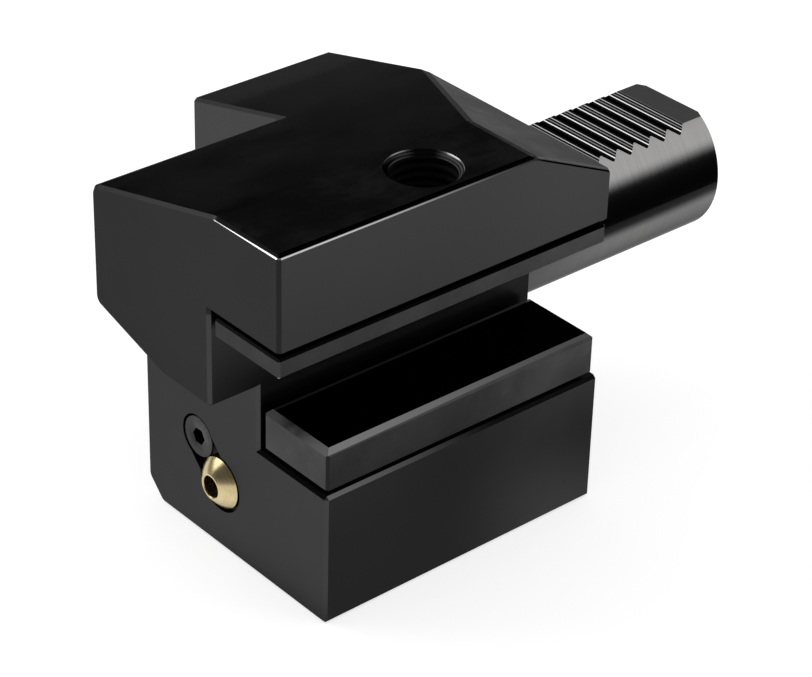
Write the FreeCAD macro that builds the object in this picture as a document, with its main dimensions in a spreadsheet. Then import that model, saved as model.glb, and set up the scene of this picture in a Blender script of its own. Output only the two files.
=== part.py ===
import FreeCAD, Part
import math
import os

import Sketcher

# Turret tool holder, form C: a square-shank tool lies along the cylindrical shank's own direction.
# Frame: origin on the shank's axis at the flange's back face, +Y along the shank into the turret,
# +X towards the open side of the tool slot, +Z up, towards the shank's toothed flat. Millimetres.

DOC = FreeCAD.newDocument("ToolHolder")
SHEET = DOC.addObject("Spreadsheet::Sheet", "Sizes")


class Size:
    """A length that carries its value and the sheet expression it comes from."""

    def __init__(self, value, text):
        self.value = float(value)
        self.text = text

    @staticmethod
    def of(other):
        if isinstance(other, Size):
            return other
        return Size(other, "(%r)" % float(other))

    def join(self, other, sign, value):
        return Size(value, "(%s %s %s)" % (self.text, sign, other.text))

    def __add__(self, other):
        other = Size.of(other)
        return self.join(other, "+", self.value + other.value)

    def __sub__(self, other):
        other = Size.of(other)
        return self.join(other, "-", self.value - other.value)

    def __mul__(self, other):
        other = Size.of(other)
        return self.join(other, "*", self.value * other.value)

    def __truediv__(self, other):
        other = Size.of(other)
        return self.join(other, "/", self.value / other.value)

    def __radd__(self, other):
        return Size.of(other) + self

    def __rsub__(self, other):
        return Size.of(other) - self

    def __rmul__(self, other):
        return Size.of(other) * self

    def __neg__(self):
        return Size.of(-1) * self

    def root(self):
        return Size(math.sqrt(self.value), "sqrt(%s)" % self.text)


def size(name, value):
    """Put one driving dimension on the sheet and return it."""
    size.row += 1
    cell = "B%d" % size.row
    SHEET.set("A%d" % size.row, name)
    SHEET.set(cell, str(value))
    SHEET.setAlias(cell, name)
    return Size(value, "Sizes." + name)


size.row = 0

# Block and jaw
right_side = size("right_side", 37.5)
left_side = size("left_side", 15.0)
block_bottom = size("block_bottom", 40.0)
block_front = size("block_front", 63.8)
bottom_corner = size("bottom_corner", 4.2)
top_height = size("top_height", 38.3)
top_flat_width = size("top_flat_width", 17.0)
top_left_drop = size("top_left_drop", 9.0)
nose_length = size("nose_length", 10.4)
nose_corner = size("nose_corner", 2.2)
nose_left_height = size("nose_left_height", 5.7)
nose_slant_end = size("nose_slant_end", 5.0)
edge_break = size("edge_break", 0.6)
# Flange wing behind the notch
wing_width = size("wing_width", 26.5)
wing_depth = size("wing_depth", 32.7)
wing_corner = size("wing_corner", 8.0)
rear_slope_run = size("rear_slope_run", 18.2)
rear_slope_drop = size("rear_slope_drop", 8.3)
# Tool slot
slot_depth = size("slot_depth", 19.0)
slot_floor = size("slot_floor", 13.0)
jaw_underside = size("jaw_underside", 19.5)
# Shank with its toothed flat
shank_diameter = size("shank_diameter", 30.0)
shank_length = size("shank_length", 55.0)
shank_chamfer = size("shank_chamfer", 1.0)
shank_relief = size("shank_relief", 0.3)
flat_height = size("flat_height", 12.0)
flat_start = size("flat_start", 10.0)
tooth_pitch = size("tooth_pitch", 4.5)
tooth_depth = size("tooth_depth", 1.25)
tooth_land = size("tooth_land", 0.4)
rack_end = size("rack_end", 6.1)
tooth_count = 8
# Pressure strip
strip_side_gap = size("strip_side_gap", 1.6)
strip_thickness = size("strip_thickness", 3.75)
strip_gap = size("strip_gap", 0.6)
strip_chamfer = size("strip_chamfer", 0.4)
# Support bar
bar_side_gap = size("bar_side_gap", 1.5)
bar_height = size("bar_height", 8.5)
bar_lift = size("bar_lift", 1.0)
bar_front_inset = size("bar_front_inset", 0.2)
bar_rear_inset = size("bar_rear_inset", 1.0)
bar_chamfer = size("bar_chamfer", 1.1)
bar_lower_chamfer = size("bar_lower_chamfer", 0.5)
# Clamp screw and its foot
clamp_edge = size("clamp_edge", 8.9)
clamp_y = size("clamp_y", 36.0)
clamp_diameter = size("clamp_diameter", 12.0)
clamp_length = size("clamp_length", 9.7)
clamp_countersink = size("clamp_countersink", 1.0)
clamp_hex = size("clamp_hex", 6.0)
clamp_hex_depth = size("clamp_hex_depth", 5.0)
foot_diameter = size("foot_diameter", 9.0)
foot_height = size("foot_height", 2.4)
foot_recess = size("foot_recess", 1.2)
dog_diameter = size("dog_diameter", 5.0)
dog_length = size("dog_length", 0.8)
# Guide pins of the strip and of the bar
strip_pin_inset = size("strip_pin_inset", 13.0)
strip_pin_diameter = size("strip_pin_diameter", 4.0)
strip_pin_length = size("strip_pin_length", 12.0)
strip_pin_seat = size("strip_pin_seat", 3.0)
strip_pin_room = size("strip_pin_room", 1.0)
ring_wire = size("ring_wire", 0.6)
ring_rise = size("ring_rise", 5.5)
bar_pin_spread = size("bar_pin_spread", 25.0)
bar_pin_diameter = size("bar_pin_diameter", 5.0)
bar_pin_stand = size("bar_pin_stand", 5.0)
bar_pin_seat = size("bar_pin_seat", 8.0)
bar_bore_depth = size("bar_bore_depth", 6.5)
running_clearance = size("running_clearance", 0.05)
contact_gap = size("contact_gap", 0.03)
# Jack screws under the bar
jack_spread = size("jack_spread", 14.0)
jack_diameter = size("jack_diameter", 8.0)
jack_length = size("jack_length", 14.0)
jack_hex = size("jack_hex", 4.0)
jack_hex_depth = size("jack_hex_depth", 4.0)
# Retaining screw and spring of the bar
hold_diameter = size("hold_diameter", 5.0)
hold_engagement = size("hold_engagement", 5.0)
hold_head_diameter = size("hold_head_diameter", 8.4)
hold_head_height = size("hold_head_height", 4.0)
hold_hex = size("hold_hex", 4.0)
hold_hex_depth = size("hold_hex_depth", 2.4)
hold_play = size("hold_play", 0.3)
spring_seat_depth = size("spring_seat_depth", 13.0)
spring_length = size("spring_length", 7.5)
spring_wire = size("spring_wire", 0.8)
spring_diameter = size("spring_diameter", 8.0)
spring_turns = 4.5
# Coolant nozzle, its lock screw and the recess round both
nozzle_x = size("nozzle_x", 7.2)
nozzle_drop = size("nozzle_drop", 26.0)
ball_diameter = size("ball_diameter", 10.4)
ball_sink = size("ball_sink", 1.2)
nozzle_bore = size("nozzle_bore", 4.3)
nozzle_rim = size("nozzle_rim", 0.45)
cone_start = size("cone_start", 1.1)
cone_end = size("cone_end", 3.3)
socket_mouth = size("socket_mouth", 0.6)
seat_ring_wire = size("seat_ring_wire", 1.8)
seat_ring_inset = size("seat_ring_inset", 0.15)
lock_x = size("lock_x", 0.8)
lock_drop = size("lock_drop", 19.3)
lock_head_diameter = size("lock_head_diameter", 8.1)
lock_head_rim = size("lock_head_rim", 0.3)
lock_head_sink = size("lock_head_sink", 0.15)
lock_head_cone = size("lock_head_cone", 1.5)
lock_diameter = size("lock_diameter", 5.0)
lock_length = size("lock_length", 14.0)
lock_hex = size("lock_hex", 3.0)
lock_hex_depth = size("lock_hex_depth", 1.7)
recess_gap = size("recess_gap", 0.45)
recess_depth = size("recess_depth", 2.4)
# Coolant channel
channel_diameter = size("channel_diameter", 5.0)
inlet_x = size("inlet_x", 5.0)
cross_y = size("cross_y", 38.0)
plug_diameter = size("plug_diameter", 8.0)
plug_length = size("plug_length", 6.0)
plug_sink = size("plug_sink", 0.5)
plug_hex = size("plug_hex", 4.0)
plug_hex_depth = size("plug_hex_depth", 3.0)
inlet_ring_wire = size("inlet_ring_wire", 2.0)
inlet_ring_diameter = size("inlet_ring_diameter", 9.4)
inlet_ring_stand = size("inlet_ring_stand", 0.3)
# Seal ring round the shank, in the flange's back face
shank_ring_wire = size("shank_ring_wire", 2.4)
shank_ring_stand = size("shank_ring_stand", 0.3)
ring_play = size("ring_play", 0.1)

DOC.recompute()

# Places worked out from the sizes
left_x = -left_side
wing_x = left_x - wing_width
flat_edge_x = right_side - top_flat_width
top_slope = top_left_drop / (flat_edge_x - left_x)
slot_x = right_side - slot_depth
nose_y = -(block_front + nose_length)
strip_top = jaw_underside - strip_gap
strip_width = slot_depth - strip_side_gap
strip_bottom = strip_top - strip_thickness
strip_x = right_side - strip_width / 2
floor_z = -slot_floor
bar_bottom = floor_z + bar_lift
bar_top = bar_bottom + bar_height
bar_width = slot_depth - bar_side_gap
bar_x = right_side - bar_width / 2
bar_front_y = -(block_front - bar_front_inset)
bar_middle_y = (bar_front_y - bar_rear_inset) / 2
clamp_x = right_side - clamp_edge
nozzle_z = -nozzle_drop
lock_z = -lock_drop
ball_y = -(block_front - ball_sink)
cross_at_y = -cross_y


def bind(item, prop, amount):
    """Tie one property to the sheet."""
    item.setExpression(prop, Size.of(amount).text)


def put(item, x=0.0, y=0.0, z=0.0):
    """Tie an object's place to the sheet."""
    bind(item, "Placement.Base.x", x)
    bind(item, "Placement.Base.y", y)
    bind(item, "Placement.Base.z", z)


TURN = {
    "+X": FreeCAD.Rotation(FreeCAD.Vector(0, 1, 0), 90),
    "+Y": FreeCAD.Rotation(FreeCAD.Vector(1, 0, 0), -90),
    "-Y": FreeCAD.Rotation(FreeCAD.Vector(1, 0, 0), 90),
    "+Z": FreeCAD.Rotation(),
    "-Z": FreeCAD.Rotation(FreeCAD.Vector(1, 0, 0), 180),
}


def new_body(name):
    """A body whose label is the name of the piece."""
    body = DOC.addObject("PartDesign::Body", name)
    body.Label = name
    return body


def plane(body, role):
    """The body's own origin plane with this role."""
    return [feature for feature in body.Origin.OriginFeatures if feature.Role == role][0]


def new_sketch(body, name, role, offset=0.0):
    """A sketch on an origin plane, moved along the plane's normal by an offset."""
    sketch = body.newObject("Sketcher::SketchObject", name)
    sketch.AttachmentSupport = [(plane(body, role), "")]
    sketch.MapMode = "FlatFace"
    bind(sketch, "AttachmentOffset.Base.z", offset)
    return sketch


def tie(sketch, kind, index, amount, name):
    """One signed distance from the sketch's origin to a line's start, tied to the sheet."""
    amount = Size.of(amount)
    number = sketch.addConstraint(Sketcher.Constraint(kind, -1, 1, index, 1, amount.value))
    sketch.renameConstraint(number, name)
    sketch.setExpression("Constraints." + name, amount.text)


def polygon(sketch, corners):
    """A closed outline of straight lines, each corner placed by two tied distances."""
    corners = [(Size.of(across), Size.of(up)) for across, up in corners]
    points = [FreeCAD.Vector(across.value, up.value, 0) for across, up in corners]
    for start, end in zip(points, points[1:] + points[:1]):
        sketch.addGeometry(Part.LineSegment(start, end), False)
    for index in range(len(points)):
        after = (index + 1) % len(points)
        sketch.addConstraint(Sketcher.Constraint("Coincident", index, 2, after, 1))
    for index, (across, up) in enumerate(corners):
        tie(sketch, "DistanceX", index, across, "across%d" % index)
        tie(sketch, "DistanceY", index, up, "up%d" % index)


def rectangle(sketch, low_across, low_up, high_across, high_up):
    """A closed rectangle between two corners."""
    polygon(sketch, [(low_across, low_up), (high_across, low_up),
                     (high_across, high_up), (low_across, high_up)])


def pad(body, name, sketch, length):
    """Extrude a sketch along its normal."""
    feature = body.newObject("PartDesign::Pad", name)
    feature.Profile = sketch
    bind(feature, "Length", length)
    return feature


def pocket(body, name, sketch, length, backwards=False, middle=False):
    """Cut a sketch's outline out of the body over a length."""
    feature = body.newObject("PartDesign::Pocket", name)
    feature.Profile = sketch
    feature.Reversed = backwards
    feature.Midplane = middle
    bind(feature, "Length", length)
    return feature


def revolve(body, kind, name, sketch):
    """Turn a sketch once about its own vertical axis, as a solid or as a cut."""
    feature = body.newObject("PartDesign::" + kind, name)
    feature.Profile = sketch
    feature.ReferenceAxis = (sketch, ["V_Axis"])
    feature.Angle = 360.0
    return feature


def drill(body, name, way, x, y, z, diameter, length):
    """A round hole that starts at a point and runs one way."""
    feature = body.newObject("PartDesign::SubtractiveCylinder", name)
    feature.Placement = FreeCAD.Placement(FreeCAD.Vector(), TURN[way])
    put(feature, x, y, z)
    bind(feature, "Radius", Size.of(diameter) / 2)
    bind(feature, "Height", length)
    return feature


def countersink(body, name, way, x, y, z, mouth, hole, depth):
    """A conical mouth that starts at a point and narrows one way."""
    feature = body.newObject("PartDesign::SubtractiveCone", name)
    feature.Placement = FreeCAD.Placement(FreeCAD.Vector(), TURN[way])
    put(feature, x, y, z)
    bind(feature, "Radius1", Size.of(mouth) / 2)
    bind(feature, "Radius2", Size.of(hole) / 2)
    bind(feature, "Height", depth)
    return feature


def is_outer(shape, edge):
    """True where a straight edge between two flat faces sticks out of the solid."""
    faces = shape.ancestorsOfType(edge, Part.Face)
    if len(faces) != 2 or not isinstance(edge.Curve, Part.Line):
        return False
    if not all(isinstance(face.Surface, Part.Plane) for face in faces):
        return False
    middle = edge.valueAt((edge.FirstParameter + edge.LastParameter) / 2)
    first, second = [face.normalAt(*face.Surface.parameter(middle)) for face in faces]
    probe = middle + first * 0.05 - second * 0.01
    return not shape.isInside(probe, 0.0001, False)


def dress(body, kind, name, amount, chooser):
    """Fillet or chamfer the outer edges of the body that a chooser picks by their ends."""
    DOC.recompute()
    base = body.Tip
    names = []
    for index, edge in enumerate(base.Shape.Edges):
        ends = [vertex.Point for vertex in edge.Vertexes]
        if len(ends) == 2 and is_outer(base.Shape, edge) and chooser(*ends):
            names.append("Edge%d" % (index + 1))
    feature = body.newObject("PartDesign::" + kind, name)
    feature.Base = (base, names)
    bind(feature, "Radius" if kind == "Fillet" else "Size", amount)
    body.Tip = feature
    return feature


def same(first, second):
    """True where two lengths are equal to the modeller's tolerance."""
    return abs(first - second) < 0.001


def tool(kind, name, way="+Z", x=0.0, y=0.0, z=0.0, **amounts):
    """A primitive with tied sizes, turned one way and placed."""
    item = DOC.addObject("Part::" + kind, name)
    item.Placement = FreeCAD.Placement(FreeCAD.Vector(), TURN[way])
    put(item, x, y, z)
    for prop, amount in amounts.items():
        bind(item, prop, amount)
    return item


def rod(name, way, x, y, z, diameter, length):
    """A round bar that starts at a point and runs one way."""
    return tool("Cylinder", name, way, x, y, z, Radius=Size.of(diameter) / 2, Height=length)


def key_socket(name, way, x, y, z, across_flats, depth):
    """The cutter of a six-sided key socket, from its mouth inwards."""
    item = tool("Prism", name, way, x, y, z, Circumradius=across_flats / math.sqrt(3), Height=depth)
    item.Polygon = 6
    return item


def ring(name, way, x, y, z, centre_radius, wire):
    """A round-section ring about an axis."""
    return tool("Torus", name, way, x, y, z, Radius1=centre_radius, Radius2=Size.of(wire) / 2)


def cut(name, base, cutters):
    """One piece with its cutters taken away."""
    for index, cutter in enumerate(cutters):
        step = DOC.addObject("Part::Cut", name if index == len(cutters) - 1 else name + "_step")
        step.Base = base
        step.Tool = cutter
        base = step
    return base


def fuse(name, items):
    """Several touching solids as one."""
    result = DOC.addObject("Part::MultiFuse", name)
    result.Shapes = items
    result.Refine = True
    return result


def group(name, items):
    """Separate solids under one name."""
    result = DOC.addObject("Part::Compound", name)
    result.Links = items
    return result


def holder_body():
    """Block, jaw, flange wing and shank, machined from one piece."""
    body = new_body("holder_body")
    top_at_left = top_height - top_left_drop
    top_at_axis = top_height - top_slope * flat_edge_x
    top_at_wing = top_height - top_slope * (flat_edge_x - wing_x)

    outline = new_sketch(body, "block_outline", "XZ_Plane")
    polygon(outline, [(left_x, -block_bottom), (right_side, -block_bottom), (right_side, top_height),
                      (flat_edge_x, top_height), (left_x, top_at_left)])
    pad(body, "block", outline, block_front)
    DOC.recompute()
    dress(body, "Chamfer", "block_corner", bottom_corner,
          lambda a, b: same(a.x, left_x.value) and same(b.x, left_x.value)
          and same(a.z, -block_bottom.value) and same(b.z, -block_bottom.value))

    outline = new_sketch(body, "nose_outline", "XZ_Plane")
    polygon(outline, [(left_x, nose_left_height), (nose_slant_end, 0), (slot_x, 0),
                      (slot_x, jaw_underside), (right_side, jaw_underside), (right_side, top_height),
                      (flat_edge_x, top_height), (left_x, top_at_left)])
    pad(body, "nose", outline, block_front + nose_length)

    outline = new_sketch(body, "wing_outline", "XZ_Plane")
    polygon(outline, [(wing_x + wing_corner, -block_bottom), (0, -block_bottom), (0, top_at_axis),
                      (wing_x, top_at_wing), (wing_x, wing_corner - block_bottom)])
    pad(body, "wing", outline, wing_depth)

    outline = new_sketch(body, "rear_slope_outline", "YZ_Plane")
    polygon(outline, [(0, top_height - rear_slope_drop), (0, top_height + rear_slope_drop),
                      (-rear_slope_run * 2, top_height + rear_slope_drop)])
    pocket(body, "rear_slope", outline, (right_side - wing_x) * 4, middle=True)

    outline = new_sketch(body, "slot_outline", "XZ_Plane", -slot_depth)
    rectangle(outline, slot_x, floor_z, right_side + slot_depth, jaw_underside)
    pocket(body, "slot", outline, block_front + nose_length + slot_depth * 2, backwards=True)

    dress(body, "Fillet", "nose_corners", nose_corner,
          lambda a, b: same(a.x, left_x.value) and same(b.x, left_x.value) and same(a.z, b.z)
          and not same(a.z, -block_bottom.value) and min(a.y, b.y) < -block_front.value)
    dress(body, "Chamfer", "broken_edges", edge_break,
          lambda a, b: not (same(a.y, 0) and same(b.y, 0)) and (a - b).Length > nose_corner.value)

    profile = new_sketch(body, "shank_profile", "XY_Plane")
    radius = shank_diameter / 2
    polygon(profile, [(0, -slot_depth), (radius, -slot_depth), (radius, flat_start),
                      (radius, shank_length - shank_chamfer), (radius - shank_chamfer, shank_length),
                      (0, shank_length)])
    shank = revolve(body, "Revolution", "shank", profile)

    outline = new_sketch(body, "rack_outline", "YZ_Plane")
    last_flank = shank_length - rack_end
    flank = tooth_pitch / 2 - tooth_land
    corners = [(shank_length + radius, flat_height)]
    for index in range(tooth_count):
        start = last_flank - tooth_pitch * index
        corners.append((start, flat_height))
        corners.append((start - flank, flat_height - tooth_depth))
        corners.append((start - flank - tooth_land, flat_height - tooth_depth))
        corners.append((start - flank * 2 - tooth_land, flat_height))
    corners.append((flat_start, flat_height))
    corners.append((flat_start, shank_diameter))
    corners.append((shank_length + radius, shank_diameter))
    polygon(outline, corners)
    pocket(body, "rack", outline, shank_diameter * 2, middle=True)

    groove = new_sketch(body, "shank_groove", "XY_Plane")
    rectangle(groove, radius - shank_relief, shank_ring_stand - shank_ring_wire,
              radius + shank_ring_wire + ring_play * 2, 0)
    revolve(body, "Groove", "shank_ring_groove", groove)

    drill(body, "clamp_thread", "-Z", clamp_x, -clamp_y, top_height,
          clamp_diameter + running_clearance * 2, top_height - jaw_underside)
    countersink(body, "clamp_mouth", "-Z", clamp_x, -clamp_y, top_height,
                clamp_diameter + clamp_countersink * 2, clamp_diameter, clamp_countersink)
    for end, y in pin_places():
        drill(body, "strip_pin_bore_" + end, "+Z", strip_x, y, jaw_underside,
              strip_pin_diameter + running_clearance * 2,
              strip_pin_length - strip_pin_seat + strip_pin_room)
    for end, side in (("front", -1), ("rear", 1)):
        drill(body, "bar_pin_bore_" + end, "-Z", bar_x, bar_middle_y + bar_pin_spread * side, floor_z,
              bar_pin_diameter, bar_pin_seat)
        drill(body, "jack_thread_" + end, "-Z", bar_x, bar_middle_y + jack_spread * side, floor_z,
              jack_diameter + running_clearance * 2, block_bottom - slot_floor)
    drill(body, "hold_hole", "-Z", bar_x, bar_middle_y, floor_z,
          hold_diameter + hold_play, block_bottom - slot_floor)
    drill(body, "spring_pocket", "+Z", bar_x, bar_middle_y, -block_bottom,
          hold_head_diameter + hold_play * 2, spring_seat_depth)

    nozzle_openings(body)
    keep_faces_apart(body, shank)
    return body


def keep_faces_apart(body, first):
    """Leave the shank's round stretch and its flatted stretch as two walls from this feature on."""
    for feature in body.Group[body.Group.index(first):]:
        if hasattr(feature, "Refine"):
            feature.Refine = False


def nozzle_openings(body):
    """The recess, socket and channels that lead the coolant from the flange to the nozzle."""
    across_x = nozzle_x - lock_x
    across_z = nozzle_z - lock_z
    distance = (across_x * across_x + across_z * across_z).root()
    half = lock_head_diameter / 2 + recess_gap / 2
    side_x = -half * across_z / distance
    side_z = half * across_x / distance
    drill(body, "lock_recess", "+Y", lock_x, -block_front, lock_z,
          lock_head_diameter + recess_gap * 2, recess_depth)
    outline = new_sketch(body, "recess_outline", "XZ_Plane", block_front)
    polygon(outline, [(lock_x + side_x, lock_z + side_z), (lock_x - side_x, lock_z - side_z),
                      (nozzle_x - side_x, nozzle_z - side_z), (nozzle_x + side_x, nozzle_z + side_z)])
    pocket(body, "recess", outline, recess_depth)
    drill(body, "lock_thread", "+Y", lock_x, -block_front, lock_z,
          lock_diameter + running_clearance * 2, lock_length + lock_head_sink + lock_head_rim)
    drill(body, "socket_opening", "+Y", nozzle_x, -block_front, nozzle_z,
          ball_diameter + socket_mouth * 2, ball_sink)
    drill(body, "ball_socket", "+Y", nozzle_x, -block_front, nozzle_z,
          ball_diameter + running_clearance * 2, seat_ring_y() + seat_ring_wire / 2 + block_front)
    drill(body, "nozzle_channel", "+Y", nozzle_x, ball_y, nozzle_z,
          channel_diameter, cross_at_y + channel_diameter / 2 - ball_y)
    drill(body, "cross_channel", "+X", left_x, cross_at_y, nozzle_z,
          channel_diameter, nozzle_x + channel_diameter / 2 - left_x)
    drill(body, "plug_thread", "+X", left_x, cross_at_y, nozzle_z,
          plug_diameter, plug_sink + plug_length)
    drill(body, "inlet_channel", "-Y", -inlet_x, 0, nozzle_z,
          channel_diameter, cross_y + channel_diameter / 2)
    drill(body, "inlet_ring_seat", "-Y", -inlet_x, 0, nozzle_z,
          inlet_ring_diameter + inlet_ring_wire + ring_play * 2, inlet_ring_wire - inlet_ring_stand)


def pin_places():
    """The two places along the strip where its guide pins stand."""
    return [("front", nose_y + strip_pin_inset), ("rear", -strip_pin_inset)]


def seat_ring_radius():
    """Centre-line radius of the ring behind the ball."""
    return ball_diameter / 2 - seat_ring_inset - seat_ring_wire / 2


def seat_ring_y():
    """Where the ring's centre line lies when it touches the ball."""
    reach = (ball_diameter + seat_ring_wire) / 2 + contact_gap
    radius = seat_ring_radius()
    return ball_y + (reach * reach - radius * radius).root()


def pressure_strip():
    """Flat strip that the clamp screw presses onto the tool."""
    body = new_body("pressure_strip")
    outline = new_sketch(body, "strip_outline", "XZ_Plane")
    rectangle(outline, right_side - strip_width, strip_bottom, right_side, strip_top)
    pad(body, "strip", outline, -nose_y)
    dress(body, "Chamfer", "strip_edges", strip_chamfer, lambda a, b: True)
    drill(body, "foot_seat", "-Z", clamp_x, -clamp_y, strip_top, foot_diameter, foot_recess)
    for end, y in pin_places():
        drill(body, "pin_seat_" + end, "-Z", strip_x, y, strip_top, strip_pin_diameter, strip_pin_seat)
    return body


def strip_guide_pins():
    """Two pins that hang the strip in the jaw, each grooved for a friction ring."""
    pins = []
    for end, y in pin_places():
        pin = rod("strip_pin_" + end, "+Z", strip_x, y, strip_top - strip_pin_seat,
                  strip_pin_diameter, strip_pin_length)
        pins.append(cut("grooved_pin_" + end, pin, [pin_ring("ring_groove_" + end, y)]))
    return group("strip_guide_pins", pins)


def pin_ring(name, y):
    """The round-section ring that grips the jaw's bore from the pin's groove."""
    centre_radius = (strip_pin_diameter - ring_wire) / 2 + running_clearance / 2
    return ring(name, "+Z", strip_x, y, strip_top + ring_rise, centre_radius, ring_wire)


def strip_pin_rings():
    """The friction rings on both guide pins."""
    return group("strip_pin_rings", [pin_ring("pin_ring_" + end, y) for end, y in pin_places()])


def clamp_screw():
    """Set screw in the jaw with a key socket on top and a dog point below."""
    start = clamp_foot_top() + contact_gap
    shaft = rod("clamp_shaft", "+Z", clamp_x, -clamp_y, start, clamp_diameter, clamp_length)
    dog = rod("clamp_dog", "-Z", clamp_x, -clamp_y, start, dog_diameter, dog_length)
    end = start + clamp_length
    socket = key_socket("clamp_socket", "-Z", clamp_x, -clamp_y, end, clamp_hex, clamp_hex_depth)
    return cut("clamp_screw", fuse("clamp_solid", [shaft, dog]), [socket])


def clamp_foot_top():
    """Height of the foot's upper face."""
    return strip_top - foot_recess + foot_height


def clamp_screw_foot():
    """Disc between the turning screw and the strip."""
    disc = rod("foot_disc", "+Z", clamp_x, -clamp_y, strip_top - foot_recess, foot_diameter, foot_height)
    recess = rod("foot_dog_recess", "-Z", clamp_x, -clamp_y, clamp_foot_top(),
                 dog_diameter + running_clearance * 2, dog_length + running_clearance)
    return cut("clamp_screw_foot", disc, [recess])


def support_bar():
    """Bar that carries the tool on the slot's floor."""
    body = new_body("support_bar")
    outline = new_sketch(body, "bar_outline", "XZ_Plane", bar_rear_inset)
    rectangle(outline, right_side - bar_width, bar_bottom, right_side, bar_top)
    pad(body, "bar", outline, -bar_front_y - bar_rear_inset)
    dress(body, "Chamfer", "bar_top_edges", bar_chamfer,
          lambda a, b: same(a.z, bar_top.value) and same(b.z, bar_top.value))
    dress(body, "Chamfer", "bar_other_edges", bar_lower_chamfer,
          lambda a, b: min(a.z, b.z) < bar_top.value - bar_chamfer.value - 0.001)
    for end, side in (("front", -1), ("rear", 1)):
        drill(body, "pin_bore_" + end, "+Z", bar_x, bar_middle_y + bar_pin_spread * side, bar_bottom,
              bar_pin_diameter + running_clearance * 2, bar_bore_depth)
    drill(body, "hold_thread", "+Z", bar_x, bar_middle_y, bar_bottom,
          hold_diameter, hold_engagement)
    return body


def bar_guide_pins():
    """Two pins pressed into the slot's floor that keep the bar in line."""
    pins = []
    for end, side in (("front", -1), ("rear", 1)):
        pins.append(rod("bar_pin_" + end, "+Z", bar_x, bar_middle_y + bar_pin_spread * side,
                        floor_z - bar_pin_seat, bar_pin_diameter, bar_pin_seat + bar_pin_stand))
    return group("bar_guide_pins", pins)


def jack_screw(name, side):
    """Set screw from below that carries the bar at its height."""
    y = bar_middle_y + jack_spread * side
    end = bar_bottom - contact_gap
    shaft = rod(name + "_shaft", "-Z", bar_x, y, end, jack_diameter, jack_length)
    socket = key_socket(name + "_socket", "+Z", bar_x, y, end - jack_length, jack_hex, jack_hex_depth)
    return cut(name, shaft, [socket])


def hold_head_top():
    """Where the retaining screw's head meets its spring."""
    return spring_seat_depth - block_bottom - spring_length


def bar_retaining_screw():
    """Cap screw from below that draws the bar down through its spring."""
    top = hold_head_top()
    shaft = rod("hold_shaft", "+Z", bar_x, bar_middle_y, top, hold_diameter,
                bar_bottom + hold_engagement - top)
    head = rod("hold_head", "-Z", bar_x, bar_middle_y, top, hold_head_diameter, hold_head_height)
    socket = key_socket("hold_socket", "+Z", bar_x, bar_middle_y, top - hold_head_height,
                        hold_hex, hold_hex_depth)
    return cut("bar_retaining_screw", fuse("hold_solid", [shaft, head]), [socket])


def bar_return_spring():
    """Coil spring between the block and the retaining screw's head."""
    rise = spring_length - spring_wire - contact_gap * 2
    radius = (spring_diameter - spring_wire) / 2
    path = tool("Helix", "spring_path", Radius=radius, Height=rise, Pitch=rise / spring_turns)
    wire = tool("Circle", "spring_section", "-Y", radius, Radius=spring_wire / 2)
    spring = DOC.addObject("Part::Sweep", "bar_return_spring")
    spring.Sections = [wire]
    spring.Spine = (path, ["Edge1"])
    spring.Solid = True
    spring.Frenet = True
    put(spring, bar_x, bar_middle_y, hold_head_top() + spring_wire / 2 + contact_gap)
    return spring


def nozzle_ball():
    """Brass ball with a conical front and a bore through it."""
    front_y = ball_y - cone_end
    radius = ball_diameter / 2
    rim_radius = nozzle_bore / 2 + nozzle_rim
    start_radius = (radius * radius - cone_start * cone_start).root()
    flare = (start_radius - rim_radius) / (cone_end - cone_start)
    ball = tool("Sphere", "ball", "-Y", nozzle_x, ball_y, nozzle_z, Radius=radius)
    length = radius + cone_end
    cone = tool("Cone", "ball_cone", "+Y", nozzle_x, front_y, nozzle_z,
                Radius1=rim_radius, Radius2=rim_radius + flare * length, Height=length)
    solid = DOC.addObject("Part::Common", "ball_solid")
    solid.Base = ball
    solid.Tool = cone
    bore = rod("ball_bore", "+Y", nozzle_x, front_y - radius, nozzle_z, nozzle_bore, radius * 4)
    return cut("nozzle_ball", solid, [bore])


def nozzle_seat_ring():
    """Soft ring that the ball turns and seals on."""
    return ring("nozzle_seat_ring", "+Y", nozzle_x, seat_ring_y(), nozzle_z,
                seat_ring_radius(), seat_ring_wire)


def nozzle_lock_screw():
    """Flat-head screw whose rim holds the ball in its seat."""
    front = lock_head_sink - block_front
    rim = rod("lock_rim", "+Y", lock_x, front, lock_z, lock_head_diameter, lock_head_rim)
    cone = tool("Cone", "lock_cone", "+Y", lock_x, front + lock_head_rim, lock_z,
                Radius1=lock_head_diameter / 2, Radius2=lock_diameter / 2, Height=lock_head_cone)
    shaft = rod("lock_shaft", "+Y", lock_x, front + lock_head_rim, lock_z, lock_diameter, lock_length)
    socket = key_socket("lock_socket", "+Y", lock_x, front, lock_z, lock_hex, lock_hex_depth)
    return cut("nozzle_lock_screw", fuse("lock_solid", [rim, cone, shaft]), [socket])


def coolant_channel_plug():
    """Plug that closes the cross channel's drilled end."""
    start = left_x + plug_sink
    solid = rod("plug_solid", "+X", start, cross_at_y, nozzle_z, plug_diameter, plug_length)
    socket = key_socket("plug_socket", "+X", start, cross_at_y, nozzle_z, plug_hex, plug_hex_depth)
    return cut("coolant_channel_plug", solid, [socket])


def coolant_inlet_seal():
    """Seal ring round the coolant inlet, proud of the flange's back face."""
    return ring("coolant_inlet_seal", "+Y", -inlet_x, inlet_ring_stand - inlet_ring_wire / 2, nozzle_z,
                inlet_ring_diameter / 2, inlet_ring_wire)


def shank_seal_ring():
    """Seal ring round the shank's root, proud of the flange's back face."""
    radius = shank_diameter / 2 + shank_ring_wire / 2 + ring_play
    return ring("shank_seal_ring", "+Y", 0, shank_ring_stand - shank_ring_wire / 2, 0,
                radius, shank_ring_wire)


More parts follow.
